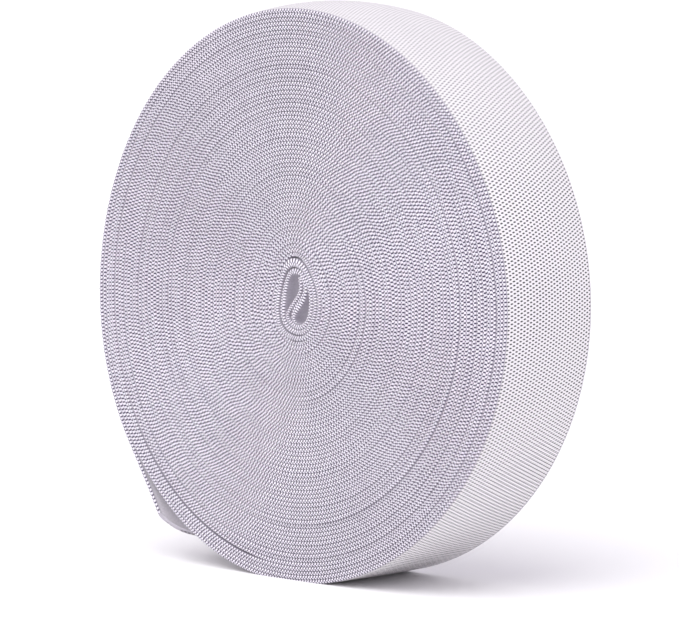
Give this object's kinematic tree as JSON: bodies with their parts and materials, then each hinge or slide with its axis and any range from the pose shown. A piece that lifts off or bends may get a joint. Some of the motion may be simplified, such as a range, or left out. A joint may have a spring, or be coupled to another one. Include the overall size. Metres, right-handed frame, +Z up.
{
  "type": "roll of elastic",
  "caption": "Flat coreless roll of wide white knitted elastic, wound on itself around a folded eye, with a short loose end springing off its rim.",
  "frame": {"origin": "centre of the roll's footprint, on the flat spot that it stands on", "axes": "+Z up, +Y along the roll's axis from the front side to the back side, +X to the right as seen from the front"},
  "size_m": [0.1168, 0.0254, 0.117],
  "materials": {
    "elastic": "knitted, matt"
  },
  "bodies": {
    "root": {"wound_roll": "elastic", "loose_end": "elastic"}
  },
  "joints": []
}
